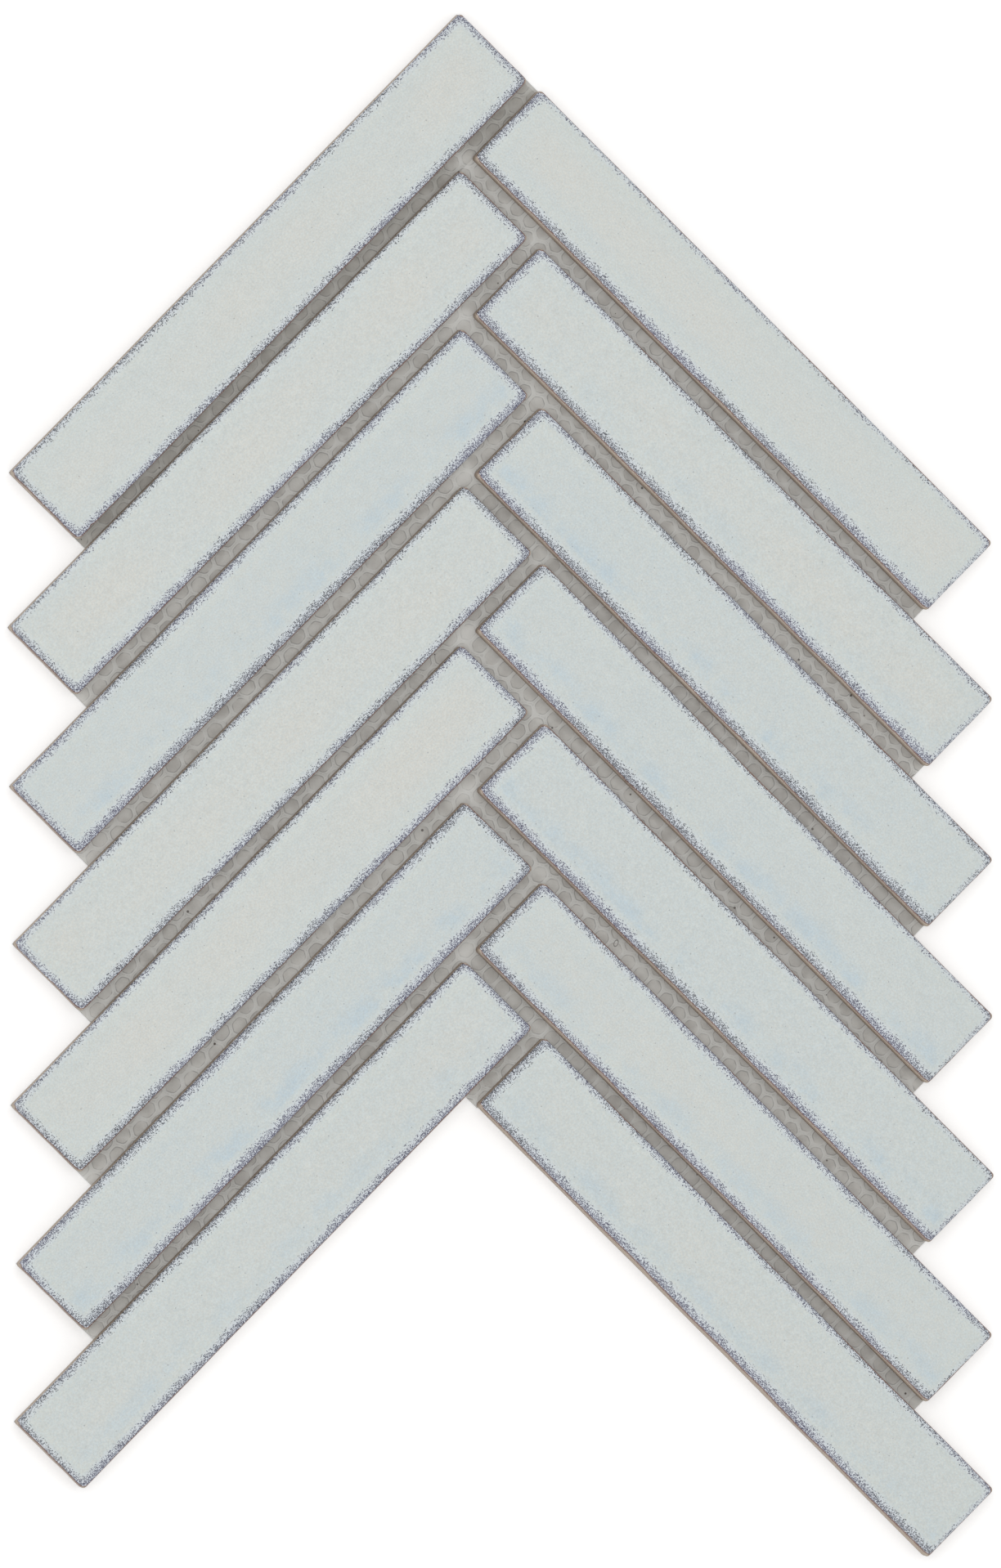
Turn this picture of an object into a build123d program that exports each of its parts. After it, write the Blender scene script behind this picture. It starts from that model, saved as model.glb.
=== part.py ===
from build123d import *
import os

# Driving dimensions, in millimetres and degrees
TILE_LENGTH = 147.0
TILE_WIDTH = 22.0
TILE_THICKNESS = 5.5
CORNER_RADIUS = 0.9
FACE_EDGE_RADIUS = 0.7
SIDE_DRAFT = 1.0
BACK_CHAMFER = 0.3
JOINT = 3.5
CHEVRON_TURN = -45.0
BACKING_THICKNESS = 0.5
BACKING_SETBACK = 0.25
BACKING_LAP = 1.5

# How far off the pattern each hand-laid tile sits, from the top row down: along X, along Y, and turned
LEFT_LAY = (
    (0.3, -0.5, 0.1), (-0.3, -0.3, -0.2), (-0.2, -0.2, -0.1), (0.0, 0.4, -0.1),
    (-0.2, -0.4, 0.1), (0.3, 0.4, 0.3), (0.0, 0.0, 0.1),
)
RIGHT_LAY = (
    (0.1, 0.1, 0.0), (-0.1, 0.3, 0.1), (0.2, 0.0, -0.1), (-0.1, 0.3, -0.2),
    (0.3, 0.2, -0.2), (0.1, -0.4, -0.3), (-0.3, 0.1, -0.3),
)

# From the start of one tile to the start of the next one beside it
PITCH = TILE_WIDTH + JOINT
ROWS = len(LEFT_LAY)


def pressed_tile():
    """One tile along X, its back on Z = 0: sides leaning in to the back, face edge rolled over."""
    face_plane = Plane.XY.offset(TILE_THICKNESS)
    face_outline = face_plane * RectangleRounded(TILE_LENGTH, TILE_WIDTH, CORNER_RADIUS)
    body = extrude(face_outline, TILE_THICKNESS, dir=(0, 0, -1), taper=SIDE_DRAFT)
    body = fillet(body.faces().sort_by(Axis.Z)[-1].edges(), FACE_EDGE_RADIUS)
    return chamfer(body.faces().sort_by(Axis.Z)[0].edges(), BACK_CHAMFER)


def left_tile_place(row):
    """A tile of the left column stands along Y in the pattern, its top end on the row's line."""
    off_x, off_y, turn = LEFT_LAY[row]
    middle_x = row * PITCH + TILE_WIDTH / 2
    middle_y = -row * PITCH - TILE_LENGTH / 2
    return Pos(middle_x + off_x, middle_y + off_y) * Rot(Z=90 + turn)


def right_tile_place(row):
    """A tile of the right column lies along X, one joint past the long side of its left tile."""
    off_x, off_y, turn = RIGHT_LAY[row]
    middle_x = (row + 1) * PITCH + TILE_LENGTH / 2
    middle_y = -row * PITCH - TILE_WIDTH / 2
    return Pos(middle_x + off_x, middle_y + off_y) * Rot(Z=turn)


def backing_under(place, past_end, past_side):
    """The backing under one tile, reaching on past the tile's -X end and its -Y side."""
    length = TILE_LENGTH - 2 * BACKING_SETBACK + past_end
    width = TILE_WIDTH - 2 * BACKING_SETBACK + past_side
    return place * Pos(-past_end / 2, -past_side / 2) * Rectangle(length, width)


def backing_outline():
    """Every tile with the joints beside it: past the inner end of a right tile, and below both tiles of a row."""
    lap = JOINT + BACKING_LAP
    outline = Sketch()
    for row in range(ROWS):
        below = 0 if row == ROWS - 1 else lap
        outline += backing_under(left_tile_place(row), 0, below)
        outline += backing_under(right_tile_place(row), lap, below)
    return outline


places = {}
for row in range(ROWS):
    places[f"tile_left_{row + 1}"] = left_tile_place(row)
    places[f"tile_right_{row + 1}"] = right_tile_place(row)

# The pattern is drawn square to the axes, then turned so that the chevrons point along +Y
turned = Rot(Z=CHEVRON_TURN)
footprints = [turned * place * RectangleRounded(TILE_LENGTH, TILE_WIDTH, CORNER_RADIUS) for place in places.values()]
middle = Compound(children=footprints).bounding_box().center()
sheet = Pos(-middle.X, -middle.Y) * turned

pieces = {"mesh_backing": sheet * extrude(backing_outline(), BACKING_THICKNESS)}
on_backing = Pos(0, 0, BACKING_THICKNESS)
tile = pressed_tile()
for name, place in places.items():
    pieces[name] = sheet * on_backing * place * tile

os.makedirs("parts", exist_ok=True)
for name, piece in pieces.items():
    export_step(piece, f"parts/{name}.step")
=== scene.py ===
import math
import bpy
import numpy as np
from mathutils import Matrix, Vector
from mathutils.bvhtree import BVHTree


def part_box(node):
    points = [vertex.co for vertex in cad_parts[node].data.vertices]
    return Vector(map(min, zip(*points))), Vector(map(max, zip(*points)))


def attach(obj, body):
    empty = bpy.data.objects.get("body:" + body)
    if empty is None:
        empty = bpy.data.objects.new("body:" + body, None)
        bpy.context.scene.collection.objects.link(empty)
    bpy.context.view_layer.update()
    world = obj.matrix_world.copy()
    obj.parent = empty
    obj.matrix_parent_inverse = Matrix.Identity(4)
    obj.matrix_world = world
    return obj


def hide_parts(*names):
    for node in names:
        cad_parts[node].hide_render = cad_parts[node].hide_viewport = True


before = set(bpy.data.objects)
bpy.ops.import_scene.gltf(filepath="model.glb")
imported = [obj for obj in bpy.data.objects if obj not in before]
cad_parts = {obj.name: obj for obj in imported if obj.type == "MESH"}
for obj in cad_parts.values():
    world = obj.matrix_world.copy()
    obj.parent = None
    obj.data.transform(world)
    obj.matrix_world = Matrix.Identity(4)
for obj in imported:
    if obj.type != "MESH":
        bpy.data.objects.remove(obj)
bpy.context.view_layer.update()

MM = 0.001
ROWS = 7
TINY = 1e-9

# Tile form, in millimetres
CORNER_RADIUS = 0.9
EDGE_ROLL = 0.7
SIDE_LEAN = math.tan(math.radians(1.0))
BACK_CHAMFER = 0.3
GLAZE_FALL = 0.14
GLAZE_FALL_REACH = 1.3
BEAD_HEIGHT = 0.025
BEAD_PLACE = 3.4
BEAD_REACH = 1.1
FACE_WAVE = 0.02
OUTLINE_WAVE = 0.10
OUTLINE_FADE = 3.0

# A side wavers inwards by these shares of OUTLINE_WAVE: on the whole, and to and fro
WAVER_MIDDLE = 0.6
WAVER_SPAN = 0.5

# Waves: the longest wavelength in millimetres, and the number of sines
FACE_WAVES_ALONG = (45.0, 5)
FACE_WAVES_ACROSS = (14.0, 3)
SIDE_WAVES = (60.0, 5)
END_WAVES = (18.0, 4)

# Each tile draws its waves from its own seed, and cuts its glaze pattern from its own depth of the noise
SEED_START = 3
SEED_STEP = 11
GLAZE_APART = 9.0

# Lines of a tile's mesh: distances in from its edges, the step between them further in, rings down its side
EDGE_STEPS = (
    0.0, 0.02, 0.06, 0.12, 0.2, 0.3, 0.42, 0.56, 0.72, 0.95,
    1.3, 1.8, 2.4, 3.1, 3.8, 4.3, 4.7, 5.1, 5.8,
)
FACE_STEP = 1.2
WALL_LEVELS = 6

# How much further in than usual the speckle reaches: lower side, upper side, outer end, inner end
SPECKLE_IN = {
    "left": (0.42, -0.4, 0.1, 0.05),
    "right": (0.95, -0.2, -0.65, 0.2),
}

# The same for single tiles, on top of that, from the top row down: lower side, upper side
SPECKLE_MORE = {
    "left": ((-0.15, 0.1), (0.0, -0.2), (0.35, 0.3), (-0.1, 0.0), (0.0, 0.0), (0.3, 0.6), (0.1, 0.3)),
    "right": ((0.0, -0.4), (0.0, 0.0), (0.0, 0.1), (0.0, -0.2), (-0.1, -0.2), (-0.2, 0.2), (0.0, 0.1)),
}

# How wide the rim is that the glaze leaves bare: lower side, upper side, outer end, inner end. Below 0 the
# pale glaze runs down the wall: on the left tiles' upper sides and the right tiles' inner ends, which face
# the lamp, that is painted light that makes those walls paler
BARE_RIM_AND_PAINTED_LIGHT = {
    "left": (0.12, -0.35, 0.1, 0.05),
    "right": (0.42, 0.05, 0.0, -0.2),
}

# At a tile's corners the speckle reaches further in and the glaze is barer
CORNER_SPECKLE = 0.75
CORNER_SPECKLE_REACH = 2.4
CORNER_BARE = 0.55
CORNER_BARE_REACH = 0.95

# How far each tile, from the top row down, goes from the warm shade of glaze to the cool one
COOLNESS = {
    "left": (0.1, 0.1, 0.85, 0.1, 0.1, 0.85, 0.5),
    "right": (0.2, 0.3, 0.85, 0.85, 0.85, 0.6, 0.6),
}

# A small chip in the lower side of the top left tile
CHIPPED_TILE = "tile_left_1"
CHIP_FROM_END = 4.7
CHIP_DEPTH = 0.3
CHIP_HALF_WIDTH = 0.45

# Glue film, in millimetres
FILM_UNDERSIDE = 0.14
FILM_SKIN = 0.03
FILM_SINK = 0.06
FILM_SETBACK = 0.3
FILM_UNDER_TILE = 0.9
FILM_LAP = 0.7
FILM_DIP = 0.06
FILM_DIP_REACH = 0.4
# Painted light: how far the paler film reaches round where joints meet and round joint ends
PAINTED_LIGHT_REACH = 3.2
# The joint, by its order, whose film is darkened with painted shade
PAINTED_SHADE_JOINT = 0
JOINT_STEP_ALONG = 0.36
JOINT_STEPS_ACROSS = 16

# The film's rise against the tiles: its height and reach, and the waves in how high it comes
MENISCUS_HEIGHT = 0.16
MENISCUS_REACH = 0.3
RISE_MIDDLE = 0.6
RISE_SPAN = 0.4
RISE_WAVE_Q = 4.7
RISE_WAVE_P = 5.9
RISE_PHASE = 1.0

# Net in the film, in millimetres; a thread starts and rises by cell distance, which is 1 along a hole's edge
CELL_PITCH = 4.1
CELL_ROW = 4.03
CELL_ROUNDNESS = 7.0
THREAD_WIDTH = 0.94
THREAD_HEIGHT = 0.05
THREAD_START = 0.95
THREAD_RISE = 0.3
RING_POINTS = 12
RING_FLANK = 0.03
RING_SINK = 0.02

# The net's sway: a short wave and a long one each way, with their lengths and phases
NET_SWAY = 0.3
SWAY_ACROSS = ((6.1, 1.3), (17.0, 0.0))
SWAY_ALONG = ((5.3, 0.4), (19.0, 2.0))

# Camera
PICTURE_HEIGHT_ON_FACE = 357.1 * MM
AIM = Vector((-0.62, 1.05, 5.6)) * MM
CAMERA_DISTANCE = 6.0
CAMERA_TILT = math.radians(8.5)
CAMERA_BEARING = math.radians(-9.1)
CAMERA_ROLL = math.radians(-0.35)
SENSOR = 36.0

# Floor and light
FLOOR_HALF = 6.0
FLOOR_DROP = 0.05 * MM
FLOOR_COLOUR = (0.86, 0.86, 0.86, 1.0)
FLOOR_GLOW = 0.3
WORLD_COLOUR = (1.0, 1.0, 1.0, 1.0)
WORLD_FILL = 0.75
SOFTBOX_PLACE = Vector((-0.2, 0.2, 1.6))
SOFTBOX_SIDE = 1.2
SOFTBOX_POWER = 6.0


def linear(red, green, blue):
    """A colour written as 0 to 255 screen values, as the linear values that shaders take."""
    values = [part / 255 for part in (red, green, blue)]
    return tuple(v / 12.92 if v <= 0.04045 else ((v + 0.055) / 1.055) ** 2.4 for v in values) + (1.0,)


# Glaze and clay colours; the two grain tints are multiplied in
GLAZE_WARM = linear(203, 209, 207)
GLAZE_COOL = linear(201, 208, 207)
GLAZE_CREAM = linear(209, 209, 203)
GLAZE_POOL = linear(210, 213, 206)
GLAZE_CLOUD = linear(189, 203, 210)
GRAIN_CREAM = (1.016, 1.0, 0.978, 1.0)
GRAIN_AQUA = (0.978, 1.004, 1.02, 1.0)
BAND_GROUND = linear(212, 218, 227)
SPECKLE_VIOLET = linear(60, 58, 86)
SPECKLE_BLACK = linear(48, 50, 60)
RIM_BROWN = linear(132, 99, 86)
BODY_TAN = linear(190, 177, 162)
BODY_DARK = linear(172, 157, 141)

# Patches: noise per millimetre, detail, the values where they start and are full, roughness if not 0.5
CREAM_PATCHES = (0.03, 3.0, 0.2, 0.7)
POOL_PATCHES = (0.05, 2.0, 0.3, 0.6)
CLOUD_PATCHES = (0.10, 5.0, 0.36, 0.66, 0.65)
TINT_PATCHES = (1.7, 3.0, 0.3, 0.7)
VIOLET_PATCHES = (0.03, 2.0, 0.42, 0.58)
FILM_PATCHES = (0.25, 4.0, 0.35, 0.7, 0.6)
LINE_PATCHES = (0.5, 2.0, 0.32, 0.62)

# Where the face's tones start and are full, or fade and are gone, in millimetres from the speckle's line
CREAM_FROM = (2.0, 8.5)
POOL_FROM = (1.6, 2.8)
POOL_TO = (3.0, 5.5)
CLOUD_FROM = (1.5, 3.5)

# The clouds' lane along a tile, in millimetres up from its middle line
LANE_FROM = (-9.0, -6.5)
LANE_TO = (-5.5, -1.0)

# How strong the tones are, from 0 to 1
CREAM_SHARE = 0.85
CREAM_LOST_BY_COOL = 0.75
POOL_SHARE = 0.35
LANE_SHARE = 0.9
LANE_LEAST = 0.15
GROUND_SHARE = 0.9
STRAY_SHARE = 0.4
FOOT_SHADE_SHARE = 0.45
RIM_SHARE = 0.92

# Wander: noise per millimetre, how far it reaches to and fro, and its detail if not 2
FINE_GRAIN = (2.4, 0.1, 3.0)
BROAD_GRAIN = (0.5, 0.03, 3.0)
BAND_SLOW = (0.08, 0.3)
BAND_QUICK = (0.7, 0.07)
RIM_SLOW = (0.06, 0.2)
RIM_QUICK = (0.9, 0.05)
SPECKLE_SHAKE = (2.6, 0.12)

# Speckle: how far in it reaches, how fast and from what it thins out
SPECKLE_REACH = 2.15
SPECKLE_FALL = 1.35
SPECKLE_MOST = 0.95

# Dots: the cells' size in millimetres, the smallest and largest radius in cells, and the edge's softness
LARGE_DOTS = (0.37, 0.28, 0.50, 0.12)
SMALL_DOTS = (0.25, 0.28, 0.48, 0.12)
STRAY_DOTS = (2.1, 0.04, 0.08, 0.02)
FILM_DOTS = (3.0, 0.04, 0.10, 0.02)
DOT_SCATTER = 0.85
DOT_FAINTEST = 0.75
STRAY_CHANCE = 0.08
FILM_DOT_CHANCE = 0.05

# Distances inside the glaze's edge, in millimetres, where bare clay, the brown rim and the painted shade at
# the wall's foot fade
BARE_FROM = (-0.2, -0.08)
RIM_EDGE = (0.06, 0.18)
FOOT_SHADE_FROM = (-4.0, -3.0)

# Grain of the clay: noise per millimetre, detail, roughness; then the values where it turns dark
CLAY_GRAIN = (3.0, 4.0, 0.65)
CLAY_DARK_FROM = (0.35, 0.7)

# Sheen and skin of the glaze; a bump is its strength and its height in millimetres
GLAZE_DULL = 0.34
GLAZE_DULL_SPAN = 0.16
CLAY_DULLER = 0.35
DULL_NOISE = (1.2, 3.0)
SKIN_NOISE = (1.6, 2.0)
SPECKLE_PIT = -0.3
GLAZE_BUMP = (0.25, 0.05)

# Film colours; the paler one is painted light where joints meet and at joint ends, and the painted shade of
# the darkened joint is multiplied in
FILM = linear(204, 204, 200)
FILM_CLEAR = linear(190, 189, 185)
FILM_PAINTED_LIGHT = linear(226, 227, 224)
FILM_PAINTED_SHADE = (0.78, 0.77, 0.75, 1.0)
FILM_SPECK = linear(70, 62, 54)
THREAD = linear(210, 211, 208)
THREAD_EDGE = linear(156, 156, 154)
THREAD_FROM = (0.95, 1.1)
PAINTED_LIGHT_SHARE = 0.6
FILM_DULL = 0.32
FILM_DULL_SPAN = 0.2
FILM_NOISE = (1.5, 3.0)
FILM_BUMP = (0.3, 0.08)

# Dark lines by cell distance, width and strength: round the holes, and between a thread's two strands
THREAD_LINES = ((1.0, 0.1, 1.0), (1.27, 0.05, 0.5))

# One long bubble in the glue: its middle, the way it points in plan, its half length and half width
BUBBLE_MIDDLE = (26.6, -35.6, 0.0)
BUBBLE_WAY = (0.39, 0.92, 0.0)
BUBBLE_ACROSS = (0.92, -0.39, 0.0)
BUBBLE_HALVES = (0.75, 0.45)
BUBBLE_LINE = 0.32
BUBBLE_EDGE = linear(112, 110, 106)


class Graph:
    """The node tree of a material or world, with short calls that return output sockets."""

    def __init__(self, owner, output="ShaderNodeOutputMaterial"):
        owner.use_nodes = True
        self.owner = owner
        self.tree = owner.node_tree
        self.tree.nodes.clear()
        self.output = self.add(output)

    def add(self, kind, **settings):
        node = self.tree.nodes.new(kind)
        for key, value in settings.items():
            setattr(node, key, value)
        return node

    def put(self, socket, value):
        if isinstance(value, bpy.types.NodeSocket):
            self.tree.links.new(value, socket)
        else:
            socket.default_value = value

    def surface(self, shader):
        """Ends the tree in this shader."""
        self.tree.links.new(shader.outputs[0], self.output.inputs["Surface"])
        return self.owner

    def math(self, operation, first, second=0.0, clamp=False):
        node = self.add("ShaderNodeMath", operation=operation, use_clamp=clamp)
        self.put(node.inputs[0], first)
        self.put(node.inputs[1], second)
        return node.outputs[0]

    def plus(self, first, second):
        return self.math("ADD", first, second)

    def minus(self, first, second, clamp=False):
        return self.math("SUBTRACT", first, second, clamp)

    def times(self, first, second, clamp=False):
        return self.math("MULTIPLY", first, second, clamp)

    def larger(self, first, second):
        return self.math("MAXIMUM", first, second)

    def rest(self, value):
        """What is left of 1."""
        return self.minus(1.0, value)

    def apart(self, first, second):
        """The distance between two values."""
        return self.math("ABSOLUTE", self.minus(first, second))

    def smooth(self, value, low, high):
        """0 below low, 1 above high, eased between."""
        node = self.add("ShaderNodeMapRange", interpolation_type="SMOOTHSTEP")
        self.put(node.inputs["Value"], value)
        self.put(node.inputs["From Min"], low)
        self.put(node.inputs["From Max"], high)
        return node.outputs["Result"]

    def mix(self, factor, first, second, blend="MIX"):
        node = self.add("ShaderNodeMix", data_type="RGBA", blend_type=blend)
        self.put(node.inputs[0], factor)
        self.put(node.inputs[6], first)
        self.put(node.inputs[7], second)
        return node.outputs[2]

    def attribute(self, name):
        return self.add("ShaderNodeAttribute", attribute_name=name)

    def object_mm(self):
        scaled = self.add("ShaderNodeVectorMath", operation="SCALE")
        self.put(scaled.inputs[0], self.add("ShaderNodeTexCoord").outputs["Object"])
        scaled.inputs["Scale"].default_value = 1 / MM
        return scaled.outputs[0]

    def noise_node(self, at, per_mm, detail=2.0, roughness=0.5):
        node = self.add("ShaderNodeTexNoise")
        self.put(node.inputs["Vector"], at)
        node.inputs["Scale"].default_value = per_mm
        node.inputs["Detail"].default_value = detail
        node.inputs["Roughness"].default_value = roughness
        return node

    def noise(self, at, per_mm, detail=2.0, roughness=0.5):
        return self.noise_node(at, per_mm, detail, roughness).outputs["Fac"]

    def patches(self, at, per_mm, detail, low, high, roughness=0.5):
        """Soft patches where the noise is high: 0 below low, 1 above high."""
        return self.smooth(self.noise(at, per_mm, detail, roughness), low, high)

    def wander(self, at, per_mm, reach, detail=2.0):
        """Noise about zero that spans about plus and minus reach."""
        return self.times(self.minus(self.noise(at, per_mm, detail), 0.5), 4 * reach)

    def shaken(self, at, per_mm, reach):
        """A place moved a little to and fro in plan."""
        moved = self.add("ShaderNodeVectorMath", operation="MULTIPLY_ADD")
        self.put(moved.inputs[0], self.noise_node(at, per_mm).outputs["Color"])
        moved.inputs[1].default_value = (reach, reach, 0.0)
        self.put(moved.inputs[2], at)
        return moved.outputs[0]

    def dots(self, at, chance, cell_mm, smallest, largest, soft):
        """Round dots, one to a cell where the cell's own number is under chance; radii in cells."""
        cells = self.add("ShaderNodeTexVoronoi", voronoi_dimensions="2D")
        self.put(cells.inputs["Vector"], at)
        cells.inputs["Scale"].default_value = 1 / cell_mm
        cells.inputs["Randomness"].default_value = DOT_SCATTER
        own = self.add("ShaderNodeSeparateColor")
        self.put(own.inputs[0], cells.outputs["Color"])
        here = self.math("LESS_THAN", own.outputs[0], chance)
        radius = self.plus(smallest, self.times(own.outputs[1], largest - smallest))
        past = self.minus(cells.outputs["Distance"], radius)
        spot = self.times(here, self.rest(self.smooth(past, -soft, soft)))
        strength = self.plus(DOT_FAINTEST, self.times(own.outputs[2], 1 - DOT_FAINTEST))
        return self.times(spot, strength)

    def bump(self, height, strength, distance_mm):
        node = self.add("ShaderNodeBump")
        self.put(node.inputs["Height"], height)
        node.inputs["Strength"].default_value = strength
        node.inputs["Distance"].default_value = distance_mm * MM
        return node.outputs["Normal"]

    def principled(self, colour, roughness, normal):
        """Ends the tree in a principled shader."""
        shader = self.add("ShaderNodeBsdfPrincipled")
        self.put(shader.inputs["Base Color"], colour)
        self.put(shader.inputs["Roughness"], roughness)
        self.put(shader.inputs["Normal"], normal)
        return self.surface(shader)

    def background_rays(self):
        """1 for rays that show the background itself: from the camera, in reflections and through glass."""
        path = self.add("ShaderNodeLightPath")
        either = self.larger(path.outputs["Is Camera Ray"], path.outputs["Is Glossy Ray"])
        return self.larger(either, path.outputs["Is Transmission Ray"])


def face_colour(g, at, band, cool):
    """The glaze away from the edges: one of two shades, creamy in the middle, with blue clouds low down."""
    face = g.mix(cool, GLAZE_WARM, GLAZE_COOL)
    cream = g.times(g.patches(at, *CREAM_PATCHES), g.smooth(band, *CREAM_FROM))
    cream = g.times(cream, g.minus(CREAM_SHARE, g.times(cool, CREAM_LOST_BY_COOL)))
    face = g.mix(cream, face, GLAZE_CREAM)
    pool = g.minus(g.smooth(band, *POOL_FROM), g.smooth(band, *POOL_TO))
    pool = g.times(pool, g.patches(at, *POOL_PATCHES))
    face = g.mix(g.times(pool, POOL_SHARE), face, GLAZE_POOL)
    parts = g.add("ShaderNodeSeparateXYZ")
    g.put(parts.inputs[0], at)
    up = parts.outputs["Y"]
    lane = g.minus(g.smooth(up, *LANE_FROM), g.smooth(up, *LANE_TO))
    lane = g.plus(g.times(lane, LANE_SHARE), LANE_LEAST)
    clouds = g.times(g.patches(at, *CLOUD_PATCHES), cool)
    clouds = g.times(g.times(clouds, lane), g.smooth(band, *CLOUD_FROM))
    return g.mix(clouds, face, GLAZE_CLOUD)


def grained(g, at, face):
    """A colour with the glaze's grain in it: lighter and darker, creamier and bluer."""
    grain = g.plus(g.wander(at, *FINE_GRAIN), g.wander(at, *BROAD_GRAIN))
    shade = g.add("ShaderNodeHueSaturation")
    g.put(shade.inputs["Value"], g.plus(1.0, grain))
    g.put(shade.inputs["Color"], face)
    tint = g.mix(g.patches(at, *TINT_PATCHES), GRAIN_CREAM, GRAIN_AQUA)
    return g.mix(1.0, shade.outputs[0], tint, "MULTIPLY")


def speckle_dots(g, at, edge_share):
    """Dots in two sizes that crowd towards the edge, where edge_share is 1, and a few strays on the face."""
    chance = g.times(g.math("POWER", edge_share, SPECKLE_FALL), SPECKLE_MOST)
    shaken = g.shaken(at, *SPECKLE_SHAKE)
    dots = g.larger(g.dots(shaken, chance, *LARGE_DOTS), g.dots(shaken, chance, *SMALL_DOTS))
    return g.larger(dots, g.times(g.dots(at, STRAY_CHANCE, *STRAY_DOTS), STRAY_SHARE))


def glaze_material():
    """Pale satin glaze that thins to dark speckle and a brown rim at the edges, over a tan body."""
    g = Graph(bpy.data.materials.new("glazed_tile"))
    at = g.attribute("glaze_at").outputs["Vector"]
    band = g.attribute("band").outputs["Fac"]
    cool = g.attribute("cool").outputs["Fac"]
    glaze = g.attribute("glaze").outputs["Fac"]

    ragged = g.plus(g.wander(at, *BAND_SLOW), g.wander(at, *BAND_QUICK))
    edge_share = g.minus(1.0, g.math("DIVIDE", g.plus(band, ragged), SPECKLE_REACH), True)
    speckle = speckle_dots(g, at, edge_share)
    face = grained(g, at, face_colour(g, at, band, cool))
    colour = g.mix(g.times(edge_share, GROUND_SHARE), face, BAND_GROUND)
    dark = g.mix(g.patches(at, *VIOLET_PATCHES), SPECKLE_BLACK, SPECKLE_VIOLET)
    colour = g.mix(speckle, colour, dark)

    clay = g.noise(g.object_mm(), *CLAY_GRAIN)
    body = g.mix(g.smooth(clay, *CLAY_DARK_FROM), BODY_TAN, BODY_DARK)
    cover = g.plus(glaze, g.plus(g.wander(at, *RIM_SLOW), g.wander(at, *RIM_QUICK)))
    bare = g.rest(g.smooth(cover, *BARE_FROM))
    colour = g.mix(bare, colour, body)
    rim = g.rest(g.smooth(g.math("ABSOLUTE", cover), *RIM_EDGE))
    # The lowest part of each wall is darkened towards the rim's brown: painted contact shade where the wall
    # meets the film
    foot = g.rest(g.smooth(cover, *FOOT_SHADE_FROM))
    rim = g.larger(rim, g.times(foot, FOOT_SHADE_SHARE))
    colour = g.mix(g.times(rim, RIM_SHARE), colour, RIM_BROWN)

    dull = g.plus(g.times(g.noise(at, *DULL_NOISE), GLAZE_DULL_SPAN), GLAZE_DULL)
    dull = g.plus(dull, g.times(bare, CLAY_DULLER))
    skin = g.plus(g.noise(at, *SKIN_NOISE), g.times(speckle, SPECKLE_PIT))
    skin = g.plus(skin, g.times(clay, bare))
    return g.principled(colour, dull, g.bump(skin, *GLAZE_BUMP))


def bubble_line(g, place):
    """1 along the outline of the glue bubble, falling to 0 on both sides of it."""
    off = g.add("ShaderNodeVectorMath", operation="SUBTRACT")
    g.put(off.inputs[0], place)
    off.inputs[1].default_value = BUBBLE_MIDDLE
    squares = []
    for way, half in zip((BUBBLE_WAY, BUBBLE_ACROSS), BUBBLE_HALVES):
        along = g.add("ShaderNodeVectorMath", operation="DOT_PRODUCT")
        g.put(along.inputs[0], off.outputs["Vector"])
        along.inputs[1].default_value = way
        share = g.math("ABSOLUTE", g.math("DIVIDE", along.outputs["Value"], half))
        squares.append(g.math("POWER", share, 2.0))
    radius = g.math("SQRT", g.plus(*squares))
    return g.rest(g.smooth(g.apart(radius, 1.0), 0.0, BUBBLE_LINE))


def film_material():
    """Whitish glue film; the net's threads show a little paler in it, with a darker line along each side."""
    g = Graph(bpy.data.materials.new("glue_film"))
    place = g.object_mm()
    cell = g.attribute("cell").outputs["Fac"]
    painted_light_and_shade = g.attribute("painted_light_and_shade").outputs["Fac"]
    blotch = g.patches(place, *FILM_PATCHES)
    colour = g.mix(blotch, FILM, FILM_CLEAR)
    colour = g.mix(g.smooth(cell, *THREAD_FROM), colour, THREAD)
    patchy = g.patches(place, *LINE_PATCHES)
    for distance, width, strength in THREAD_LINES:
        line = g.minus(strength, g.smooth(g.apart(cell, distance), 0.0, width), True)
        colour = g.mix(g.times(line, patchy), colour, THREAD_EDGE)
    # Painted light makes the film paler round where joints meet and at joint ends, and painted shade darkens
    # one joint
    colour = g.mix(g.times(painted_light_and_shade, PAINTED_LIGHT_SHARE, True), colour, FILM_PAINTED_LIGHT)
    colour = g.mix(g.times(painted_light_and_shade, -1.0, True), colour, FILM_PAINTED_SHADE, "MULTIPLY")
    colour = g.mix(g.dots(place, FILM_DOT_CHANCE, *FILM_DOTS), colour, FILM_SPECK)
    colour = g.mix(bubble_line(g, place), colour, BUBBLE_EDGE)
    dull = g.plus(g.times(blotch, FILM_DULL_SPAN), FILM_DULL)
    return g.principled(colour, dull, g.bump(g.noise(place, *FILM_NOISE), *FILM_BUMP))


def new_object(name, data):
    """An object with this data, in the scene."""
    thing = bpy.data.objects.new(name, data)
    bpy.context.scene.collection.objects.link(thing)
    return thing


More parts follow.
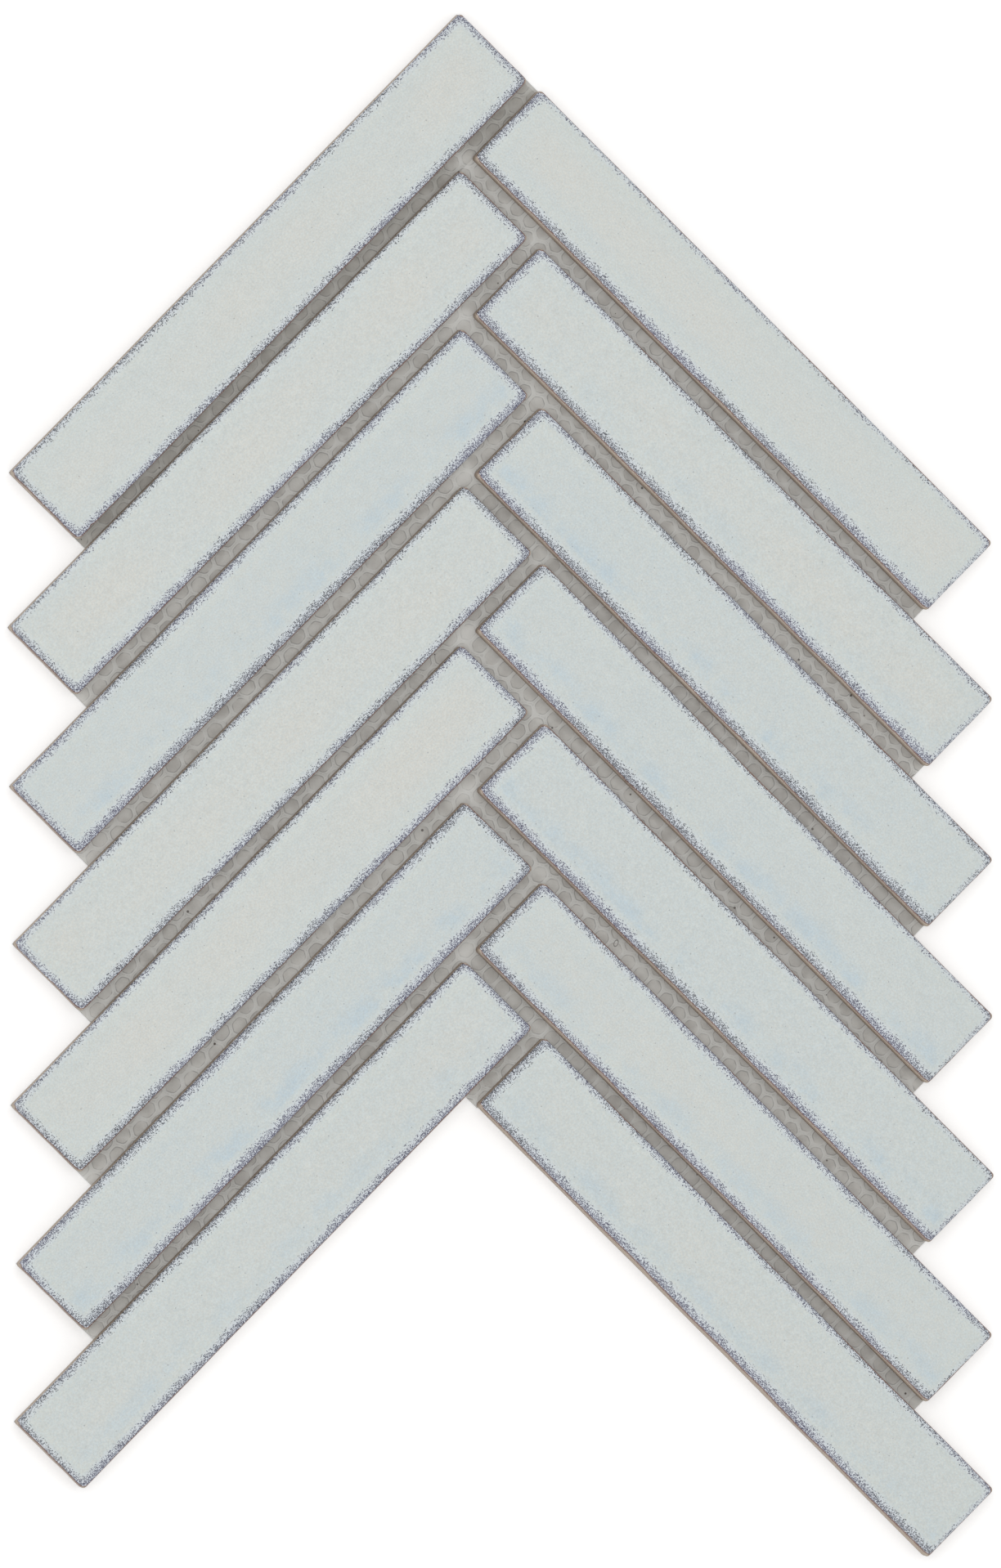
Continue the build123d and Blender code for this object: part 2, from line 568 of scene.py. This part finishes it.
def new_piece(name, points_mm, faces, material, values):
    """A mesh piece from points in millimetres, with its point attributes, riding the one body."""
    mesh = bpy.data.meshes.new(name)
    mesh.from_pydata((np.asarray(points_mm) * MM).tolist(), [], faces)
    mesh.materials.append(material)
    for key, data in values.items():
        flat = np.asarray(data, np.float32)
        vector = flat.ndim == 2
        layer = mesh.attributes.new(key, "FLOAT_VECTOR" if vector else "FLOAT", "POINT")
        layer.data.foreach_set("vector" if vector else "value", flat.ravel())
    mesh.polygons.foreach_set("use_smooth", [True] * len(mesh.polygons))
    mesh.update()
    piece = new_object(name, mesh)
    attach(piece, "root")
    return piece


def bell(distance, reach):
    """1 at no distance, falling smoothly to nearly 0 at twice the reach."""
    return np.exp(-(distance / reach) ** 2)


def wave(seed, longest, count):
    """A smooth wave of about plus and minus one along a line, a sum of a few sines."""
    draw = np.random.RandomState(seed)
    lengths = longest * draw.uniform(0.25, 1.0, count)
    phases = draw.uniform(0, 2 * math.pi, count)
    return lambda t: sum(np.sin(2 * math.pi * t / n + p) for n, p in zip(lengths, phases)) / count


def waver(seed, waves, t):
    """How far a side of a tile wavers inwards along t."""
    return OUTLINE_WAVE * (WAVER_MIDDLE + WAVER_SPAN * wave(seed, *waves)(t))


def grid_quads(number):
    """The four-sided faces of a grid of numbered points."""
    corners = [number[:-1, :-1], number[1:, :-1], number[1:, 1:], number[:-1, 1:]]
    return np.stack(corners, -1).reshape(-1, 4).tolist()


def grid_rim(number):
    """The numbers round the outside of a grid, in order."""
    return np.concatenate([number[:, 0], number[-1, 1:], number[-2::-1, -1], number[0, -2:0:-1]])


def ring_quads(upper, lower):
    """The four-sided faces between two closed rings of numbered points, one below the other."""
    return np.stack([lower, np.roll(lower, -1), np.roll(upper, -1), upper], -1).tolist()


def grid_lines(half):
    """Places across a tile from one edge to the other, close together at the edges."""
    edge = np.array(EDGE_STEPS)
    inner = half - edge[-1]
    middle = np.linspace(-inner, inner, int(round(2 * inner / FACE_STEP)) + 1)[1:-1]
    return np.concatenate([edge - half, middle, (half - edge)[::-1]])


class TilePlace:
    """Where a CAD tile lies: its middle, its two directions in plan, its sizes and its heights."""

    def __init__(self, node):
        points = np.array([v.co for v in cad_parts[node].data.vertices]) / MM
        low, high = points.min(0), points.max(0)
        self.middle = ((low + high) / 2)[:2]
        self.back, self.top = low[2], high[2]
        spread = np.cov((points[:, :2] - self.middle).T)
        along = np.linalg.eigh(spread)[1][:, 1]
        self.along = along * np.sign(along[0])
        self.across = np.array([-self.along[1], self.along[0]])
        self.length = np.ptp(points[:, :2] @ self.along)
        self.width = np.ptp(points[:, :2] @ self.across)

    def plan(self, u, v):
        return self.middle + np.outer(u, self.along) + np.outer(v, self.across)


class TileGrid:
    """Places over one tile's face, u along it and v up across it, and what its mesh holds there."""

    def __init__(self, node):
        self.node = node
        _, self.column, number = node.split("_")
        self.row = int(number) - 1
        self.place = TilePlace(node)
        half_length, half_width = self.place.length / 2, self.place.width / 2
        self.u, self.v = np.meshgrid(grid_lines(half_length), grid_lines(half_width), indexing="ij")
        self.from_end = half_length - np.abs(self.u)
        self.from_side = half_width - np.abs(self.v)
        self.from_corner = np.hypot(self.from_end, self.from_side)

    def from_sides(self, lower, upper, outer, inner):
        """Distance inside lines that lie this far in from each side of the tile."""
        outer_way = -1 if self.column == "left" else 1
        across = self.from_side - np.where(self.v < 0, lower, upper)
        along = self.from_end - np.where(np.sign(self.u) == outer_way, outer, inner)
        return np.minimum(across, along)

    def band(self):
        """Distance inside the line that the speckle is counted from."""
        lower, upper, outer, inner = SPECKLE_IN[self.column]
        more_lower, more_upper = SPECKLE_MORE[self.column][self.row]
        inside = self.from_sides(lower + more_lower, upper + more_upper, outer, inner)
        return inside - CORNER_SPECKLE * bell(self.from_corner, CORNER_SPECKLE_REACH)

    def glaze(self):
        """Distance inside the glaze's edge, under 0 where it leaves the clay bare; on the walls that face up
        and to the left the pale glaze is drawn down as painted light.
        """
        inside = self.from_sides(*BARE_RIM_AND_PAINTED_LIGHT[self.column])
        return inside - CORNER_BARE * bell(self.from_corner, CORNER_BARE_REACH)

    def rounded(self):
        """The places u, v with the square corners turned into round ones, ring by ring."""
        right = np.clip(1 - self.from_end / CORNER_RADIUS, 0, 1)
        up = np.clip(1 - self.from_side / CORNER_RADIUS, 0, 1)
        reach = np.hypot(right, up)
        ease = np.where((right > 0) & (up > 0), np.maximum(right, up) / np.maximum(reach, TINY), 1.0)
        u = self.u + np.sign(self.u) * CORNER_RADIUS * right * (ease - 1)
        v = self.v + np.sign(self.v) * CORNER_RADIUS * up * (ease - 1)
        return u, v

    def wavered(self, seed):
        """The rounded places with each side wavering inwards a little, and the chip in the chipped tile."""
        u, v = self.rounded()
        near_side = np.clip(1 - self.from_side / OUTLINE_FADE, 0, 1)
        near_end = np.clip(1 - self.from_end / OUTLINE_FADE, 0, 1)
        for order, sign in enumerate((-1, 1)):
            inward = waver(seed + order, SIDE_WAVES, self.u)
            if self.node == CHIPPED_TILE and sign < 0:
                from_low_end = self.u + self.place.length / 2
                inward = inward + CHIP_DEPTH * bell(from_low_end - CHIP_FROM_END, CHIP_HALF_WIDTH)
            v = v - sign * inward * (near_side * (np.sign(self.v) == sign))
            inward = waver(seed + 2 + order, END_WAVES, self.v)
            u = u - sign * inward * (near_end * (np.sign(self.u) == sign))
        return u, v

    def heights(self, seed):
        """The face's height: rolled over at the edges, with a faint bead inside them and a slow ripple."""
        edge = np.minimum(self.from_end, self.from_side)
        roll = np.clip(1 - edge / EDGE_ROLL, 0, 1)
        height = -EDGE_ROLL * (1 - np.sqrt(1 - roll ** 2))
        height = height - GLAZE_FALL * np.exp(-edge / GLAZE_FALL_REACH)
        height = height + BEAD_HEIGHT * (bell(edge - BEAD_PLACE, BEAD_REACH) - 1)
        ripple = wave(seed + 4, *FACE_WAVES_ALONG)(self.u) * wave(seed + 5, *FACE_WAVES_ACROSS)(self.v)
        return self.place.top + (height + FACE_WAVE * (ripple - 1))

    def inward_ways(self, loop, rim_places):
        """Directions from the rim into the tile: square to its sides, and turning round its corners."""
        inside = np.column_stack([self.from_end.ravel()[loop], self.from_side.ravel()[loop]])
        way = -np.sign(rim_places) * (1 - np.minimum(1, inside / CORNER_RADIUS))
        return way / np.maximum(np.linalg.norm(way, axis=1, keepdims=True), TINY)


def wall_heights(rim, back):
    """Heights of the rings down a tile's side: evenly to the chamfer, and the last one on the back."""
    foot = back + BACK_CHAMFER
    down = [rim + (foot - rim) * share for share in np.linspace(0, 1, WALL_LEVELS)[1:]]
    return down + [np.full(len(rim), back)]


def back_faces(ring, rows, columns):
    """Faces over a tile's back: strips from side to side, and one face at each end."""
    ring = ring.tolist()
    low = ring[:rows]
    high = ring[rows + columns - 2:2 * rows + columns - 2][::-1]
    first_end = ring[2 * rows + columns - 3:] + ring[:1]
    last_end = ring[rows - 1:rows + columns - 1]
    faces = [[low[i], high[i], high[i + 1], low[i + 1]] for i in range(1, rows - 2)]
    faces.append(first_end + [low[1], high[1]])
    faces.append(last_end + [high[rows - 2], low[rows - 2]])
    return faces


def tile_piece(node, seed, material):
    """A glazed tile: its face, its sides that go down from the rim leaning in, and its chamfered back."""
    tile = TileGrid(node)
    place = tile.place
    u, v = tile.wavered(seed)
    u, v = u.ravel(), v.ravel()
    top = np.column_stack([place.plan(u, v), tile.heights(seed).ravel()])
    number = np.arange(len(top)).reshape(tile.u.shape)
    loop = grid_rim(number)
    rim = top[loop, 2]
    rim_places = np.column_stack([u[loop], v[loop]])
    ways = tile.inward_ways(loop, rim_places)
    band, glaze = tile.band().ravel(), tile.glaze().ravel()
    at = np.column_stack([tile.u.ravel(), tile.v.ravel(), np.full(len(top), GLAZE_APART * seed)])

    points, glazes = [top], [glaze]
    faces = grid_quads(number)
    upper = loop
    for level, z in enumerate(wall_heights(rim, place.back), start=1):
        chamfer = BACK_CHAMFER if level == WALL_LEVELS else 0.0
        pull = (rim - z) * SIDE_LEAN + chamfer
        points.append(np.column_stack([place.plan(*(rim_places + ways * pull[:, None]).T), z]))
        glazes.append(glaze[loop] + z - rim)
        lower = len(top) + (level - 1) * len(loop) + np.arange(len(loop))
        faces += ring_quads(upper, lower)
        upper = lower
    faces += back_faces(upper, *tile.u.shape)

    points = np.concatenate(points)
    values = {
        "band": np.concatenate([band] + [band[loop]] * WALL_LEVELS),
        "glaze": np.concatenate(glazes),
        "glaze_at": np.concatenate([at] + [at[loop]] * WALL_LEVELS),
        "cool": np.full(len(points), COOLNESS[tile.column][tile.row]),
    }
    name = node.replace("tile", "glazed_tile")
    piece = new_piece(name, points, faces, material, values)
    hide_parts(node)


def cell_distance(q, p):
    """0 at the middle of a net cell, 1 along the edge of its hole, over 1 on the threads around it."""
    half = CELL_PITCH / 2
    # The slanting threads of the six-sided cell: their direction across, and how far off the middle they run
    corner = (CELL_ROW ** 2 - half ** 2) / (2 * CELL_ROW)
    tip = CELL_ROW - corner
    slope = np.array([tip - corner, half]) / math.hypot(tip - corner, half)
    best = np.full(np.shape(q), np.inf)
    for shift_q, shift_p in ((0.0, 0.0), (half, CELL_ROW)):
        dq = np.abs((q - shift_q + half) % CELL_PITCH - half)
        dp = np.abs((p - shift_p + CELL_ROW) % (2 * CELL_ROW) - CELL_ROW)
        upright = dq / half
        slanting = (slope[0] * dq + slope[1] * dp) / (slope[1] * tip)
        both = upright ** CELL_ROUNDNESS + slanting ** CELL_ROUNDNESS
        best = np.minimum(best, both ** (1 / CELL_ROUNDNESS))
    return best / (1 - THREAD_WIDTH / CELL_PITCH)


def sway(waves, short_way, long_way):
    """A short wave along one way and a long one along another, together."""
    (short, short_phase), (long, long_phase) = waves
    return NET_SWAY * (np.sin(short_way / short + short_phase) + np.sin(long_way / long + long_phase))


def net_sway(q, p):
    """The net lies a little out of true: places moved by a few slow waves."""
    return q + sway(SWAY_ACROSS, p, q + p), p + sway(SWAY_ALONG, q, q - p)


class Lay:
    """The sheet's own directions, q down to the right and p up to the right, and the tiles' places."""

    def __init__(self):
        self.left = [TilePlace(f"tile_left_{i}") for i in range(1, ROWS + 1)]
        self.right = [TilePlace(f"tile_right_{i}") for i in range(1, ROWS + 1)]
        self.q_way = np.array([1, -1]) / math.sqrt(2)
        self.p_way = np.array([1, 1]) / math.sqrt(2)
        self.top = self.left[0].back
        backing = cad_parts["mesh_backing"].data
        corners = [v.co / MM for v in backing.vertices]
        self.backing = BVHTree.FromPolygons(corners, [face.vertices for face in backing.polygons])

    def plan(self, q, p):
        return np.multiply.outer(q, self.q_way) + np.multiply.outer(p, self.p_way)

    def span(self, place):
        """(q low, q high, p low, p high) of a tile."""
        q, p = place.middle @ self.q_way, place.middle @ self.p_way
        half_q, half_p = place.length / 2, place.width / 2
        if place in self.left:
            half_q, half_p = half_p, half_q
        return q - half_q, q + half_q, p - half_p, p + half_p

    def joints(self):
        """The open joints as rectangles (q low, q high, p low, p high): those beside the left tiles, then the
        rest of those below the right tiles."""
        left, right = [self.span(t) for t in self.left], [self.span(t) for t in self.right]
        found = []
        for here, beside in zip(left[:-1], right[:-1]):
            found.append((here[1], beside[0], here[2], here[3]))
        found.append((left[-1][1], right[-1][0], right[-1][2], right[-1][3]))
        for above, below in zip(right[:-1], right[1:]):
            found.append((above[0], above[1], below[3], above[2]))
        return found

    def painted_light_spots(self):
        """Spots of painted light on the film: where joints meet, and at the left joints' outer ends below the
        top one.
        """
        left, right = [self.span(t) for t in self.left], [self.span(t) for t in self.right]
        spots = []
        for row in range(ROWS - 1):
            between_q = (left[row][1] + right[row][0]) / 2
            between_p = (right[row][2] + right[row + 1][3]) / 2
            spots.append((between_q, between_p))
            if row > 0:
                spots.append((between_q, left[row][2]))
        return spots

    def from_tiles(self, q, p):
        """Distance in plan to the nearest tile."""
        at = self.plan(q, p)
        nearest = np.full(np.shape(q), np.inf)
        for tile in self.left + self.right:
            past_end = np.maximum(np.abs((at - tile.middle) @ tile.along) - tile.length / 2, 0)
            past_side = np.maximum(np.abs((at - tile.middle) @ tile.across) - tile.width / 2, 0)
            nearest = np.minimum(nearest, np.hypot(past_end, past_side))
        return nearest

    def over_backing(self, q, p):
        """Which of a row of points lie over the backing."""
        above = Vector((0, 0, 10))
        down = Vector((0, 0, -1))
        starts = [Vector((x, y, 0)) + above for x, y in self.plan(q, p)]
        return np.array([self.backing.ray_cast(start, down)[0] is not None for start in starts])


def strip_places(rectangle):
    """The grid of places over one joint's strip of film, and how far each is from where strips lap."""
    low_q, high_q, low_p, high_p = rectangle
    upright = high_p - low_p > high_q - low_q
    if upright:
        low_q, high_q = low_q - FILM_UNDER_TILE, high_q + FILM_UNDER_TILE
        low_p, high_p = low_p + FILM_SETBACK, high_p - FILM_SETBACK
        steps_q = JOINT_STEPS_ACROSS
        steps_p = int((high_p - low_p) / JOINT_STEP_ALONG)
    else:
        low_q, high_q = low_q + FILM_UNDER_TILE - FILM_LAP, high_q - FILM_SETBACK
        low_p, high_p = low_p - FILM_UNDER_TILE, high_p + FILM_UNDER_TILE
        steps_q = int((high_q - low_q) / JOINT_STEP_ALONG)
        steps_p = JOINT_STEPS_ACROSS
    q_lines = np.linspace(low_q, high_q, steps_q + 1)
    p_lines = np.linspace(low_p, high_p, steps_p + 1)
    q, p = np.meshgrid(q_lines, p_lines, indexing="ij")
    other_side = high_q - q if upright else p - low_p
    return q, p, np.min([q - low_q, other_side, high_p - p], axis=0)


def film_heights(lay, q, p, cell, from_lap):
    """The skin's height: up along the threads and against the tiles, and down where strips lap."""
    thread = np.clip((cell - THREAD_START) / THREAD_RISE, 0, 1)
    z = lay.top + FILM_SKIN + THREAD_HEIGHT * np.sin(thread * math.pi / 2)
    rise = RISE_MIDDLE + RISE_SPAN * np.sin(q / RISE_WAVE_Q + RISE_PHASE) * np.sin(p / RISE_WAVE_P)
    z = z + MENISCUS_HEIGHT * rise * np.exp(-lay.from_tiles(q, p) / MENISCUS_REACH)
    return z - FILM_DIP * np.clip(1 - from_lap / FILM_DIP_REACH, 0, 1)


def painted_joint_light(lay, q, p):
    """Painted light on the film: 1 at the spots, falling to 0 around."""
    distances = [np.hypot(q - spot_q, p - spot_p) for spot_q, spot_p in lay.painted_light_spots()]
    return bell(np.min(distances, axis=0), PAINTED_LIGHT_REACH)


def joint_film_piece(lay, material):
    """The film's upper skin in every joint, raised along the net's threads and up against the tiles."""
    points, faces, cells, painted_lights_and_shades = [], [], [], []
    start = 0
    for order, rectangle in enumerate(lay.joints()):
        q, p, from_lap = strip_places(rectangle)
        cell = cell_distance(*net_sway(q, p))
        z = film_heights(lay, q, p, cell, from_lap)
        painted_light_and_shade = painted_joint_light(lay, q, p)
        # This joint's film gets painted shade
        if order == PAINTED_SHADE_JOINT:
            painted_light_and_shade = painted_light_and_shade - 1
        skin = np.column_stack([lay.plan(q.ravel(), p.ravel()), z.ravel()])
        number = np.arange(q.size).reshape(q.shape)
        faces += grid_quads(start + number)
        # The cut edge round the skin goes down into the film, with corners of its own so that it stays crisp
        loop = grid_rim(number)
        foot = skin[loop].copy()
        foot[:, 2] = lay.top - FILM_SINK
        upper = start + q.size + np.arange(len(loop))
        faces += ring_quads(upper, upper + len(loop))
        points += [skin, skin[loop], foot]
        cells += [cell.ravel(), cell.ravel()[loop], cell.ravel()[loop]]
        painted_lights_and_shades += [painted_light_and_shade.ravel(), painted_light_and_shade.ravel()[loop], painted_light_and_shade.ravel()[loop]]
        start += q.size + 2 * len(loop)
    values = {"cell": np.concatenate(cells), "painted_light_and_shade": np.concatenate(painted_lights_and_shades)}
    new_piece("joint_film", np.concatenate(points), faces, material, values)


def cell_middles(lay):
    """The middles of the net's cells over the sheet's whole span, row by row."""
    spans = np.array([lay.span(t) for t in lay.left + lay.right])
    low_q, high_q = spans[:, 0].min(), spans[:, 1].max()
    low_p, high_p = spans[:, 2].min(), spans[:, 3].max()
    for row in range(math.floor(low_p / CELL_ROW), math.ceil(high_p / CELL_ROW) + 1):
        shift = CELL_PITCH / 2 if row % 2 else 0.0
        for column in range(math.floor(low_q / CELL_PITCH), math.ceil(high_q / CELL_PITCH) + 1):
            yield np.array([column * CELL_PITCH + shift, row * CELL_ROW])


def thread_rings():
    """Rings round one net cell with their heights: on the threads' tops and flanks, and round the hole."""
    turn = np.linspace(0, 2 * math.pi, RING_POINTS, endpoint=False) + math.pi / RING_POINTS
    way = np.stack([np.cos(turn), np.sin(turn)], -1)
    neighbours = [(CELL_PITCH, 0), (-CELL_PITCH, 0)]
    neighbours += [(a * CELL_PITCH / 2, b * CELL_ROW) for a in (-1, 1) for b in (-1, 1)]
    neighbours = np.array(neighbours)
    # How far each ray goes before it is nearer to a neighbouring cell
    reach = (neighbours ** 2).sum(1) / 2 / np.maximum(way @ neighbours.T, TINY)
    hexagon = way * reach.min(1)[:, None]
    hole = hexagon / cell_distance(hexagon[:, 0], hexagon[:, 1])[:, None]
    flank = hexagon * 0.5 + hole * 0.5
    return [(hexagon, 0.0), (flank, RING_FLANK), (hole, FILM_UNDERSIDE + RING_SINK)]


def thread_faces(start, hit):
    """The faces between a cell's rings whose four corners all lie over the backing."""
    faces = []
    for band in range(len(hit) - 1):
        outer = start + band * RING_POINTS
        inner = outer + RING_POINTS
        for k in range(RING_POINTS):
            n = (k + 1) % RING_POINTS
            if hit[band:band + 2, [k, n]].all():
                faces.append([outer + k, outer + n, inner + n, inner + k])
    return faces


def back_net_piece(lay, material):
    """The net's threads on the underside: round every cell a ring that slopes from the thread to the film."""
    rings = thread_rings()
    points, faces, cells = [], [], []
    start = 0
    for middle in cell_middles(lay):
        plan = [middle + ring for ring, _ in rings]
        hit = np.stack([lay.over_backing(ring[:, 0], ring[:, 1]) for ring in plan])
        if not hit.any():
            continue
        for ring, (_, z) in zip(plan, rings):
            points.append(np.column_stack([lay.plan(ring[:, 0], ring[:, 1]), np.full(RING_POINTS, z)]))
            cells.append(cell_distance(ring[:, 0], ring[:, 1]))
        faces += thread_faces(start, hit)
        start += len(rings) * RING_POINTS
    used, faces = np.unique(np.array(faces), return_inverse=True)
    faces = faces.reshape(-1, 4).tolist()
    values = {"cell": np.concatenate(cells)[used]}
    new_piece("back_net", np.concatenate(points)[used], faces, material, values)


def film_piece(material):
    """The film itself: the backing's outline, its underside drawn up so that the net stands proud there."""
    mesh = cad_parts["mesh_backing"].data.copy()
    mesh.name = "backing_film"
    mesh.materials.clear()
    mesh.materials.append(material)
    low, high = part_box("mesh_backing")
    middle = (low.z + high.z) / 2
    for vertex in mesh.vertices:
        if vertex.co.z < middle:
            vertex.co.z = FILM_UNDERSIDE * MM
    piece = new_object("backing_film", mesh)
    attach(piece, "root")
    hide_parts("mesh_backing")


def floor_material():
    """White floor: what the camera sees of it is lifted to white, and it keeps the object's shadow."""
    g = Graph(bpy.data.materials.new("floor"))
    diffuse = g.add("ShaderNodeBsdfDiffuse")
    diffuse.inputs["Color"].default_value = FLOOR_COLOUR
    glow = g.add("ShaderNodeEmission")
    g.put(glow.inputs["Strength"], g.times(g.background_rays(), FLOOR_GLOW))
    both = g.add("ShaderNodeAddShader")
    g.put(both.inputs[0], diffuse.outputs[0])
    g.put(both.inputs[1], glow.outputs[0])
    return g.surface(both)


def add_floor():
    """A wide floor just under the sheet."""
    corners = [(-1, -1), (1, -1), (1, 1), (-1, 1)]
    mesh = bpy.data.meshes.new("floor")
    mesh.from_pydata([(x * FLOOR_HALF, y * FLOOR_HALF, -FLOOR_DROP) for x, y in corners], [], [(0, 1, 2, 3)])
    mesh.materials.append(floor_material())
    floor = new_object("floor", mesh)


def add_world():
    """Even light from all round, less than the white that the background shows."""
    world = bpy.data.worlds.new("studio")
    bpy.context.scene.world = world
    g = Graph(world, "ShaderNodeOutputWorld")
    background = g.add("ShaderNodeBackground")
    background.inputs["Color"].default_value = WORLD_COLOUR
    strength = g.add("ShaderNodeMapRange")
    strength.inputs["To Min"].default_value = WORLD_FILL
    g.put(strength.inputs["Value"], g.background_rays())
    g.put(background.inputs["Strength"], strength.outputs["Result"])
    g.surface(background)


def add_softbox():
    """One large soft lamp, up and to the left."""
    lamp = bpy.data.lights.new("softbox", "AREA")
    lamp.shape = "SQUARE"
    lamp.size = SOFTBOX_SIDE
    lamp.energy = SOFTBOX_POWER
    softbox = new_object("softbox", lamp)
    softbox.location = SOFTBOX_PLACE
    softbox.rotation_mode = "QUATERNION"
    softbox.rotation_quaternion = (-SOFTBOX_PLACE).to_track_quat("-Z", "Y")


def add_camera():
    """A long lens that looks down on the sheet, leaning a little to the left."""
    lens = bpy.data.cameras.new("camera")
    lens.sensor_width = SENSOR
    lens.lens = SENSOR * CAMERA_DISTANCE / PICTURE_HEIGHT_ON_FACE
    camera = new_object("camera", lens)
    bearing = Matrix.Rotation(CAMERA_BEARING, 4, "Z")
    lean = bearing @ Matrix.Rotation(-CAMERA_TILT, 4, "Y") @ bearing.inverted()
    lean = lean @ Matrix.Rotation(CAMERA_ROLL, 4, "Z")
    camera.matrix_world = Matrix.Translation(AIM) @ lean @ Matrix.Translation((0, 0, CAMERA_DISTANCE))
    bpy.context.scene.camera = camera


glaze = glaze_material()
film = film_material()
for order, node in enumerate(sorted(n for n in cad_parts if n.startswith("tile_"))):
    tile_piece(node, SEED_STEP * order + SEED_START, glaze)
lay = Lay()
film_piece(film)
joint_film_piece(lay, film)
back_net_piece(lay, film)

add_floor()
add_world()
add_softbox()
add_camera()
bpy.context.scene.view_settings.view_transform = "Standard"
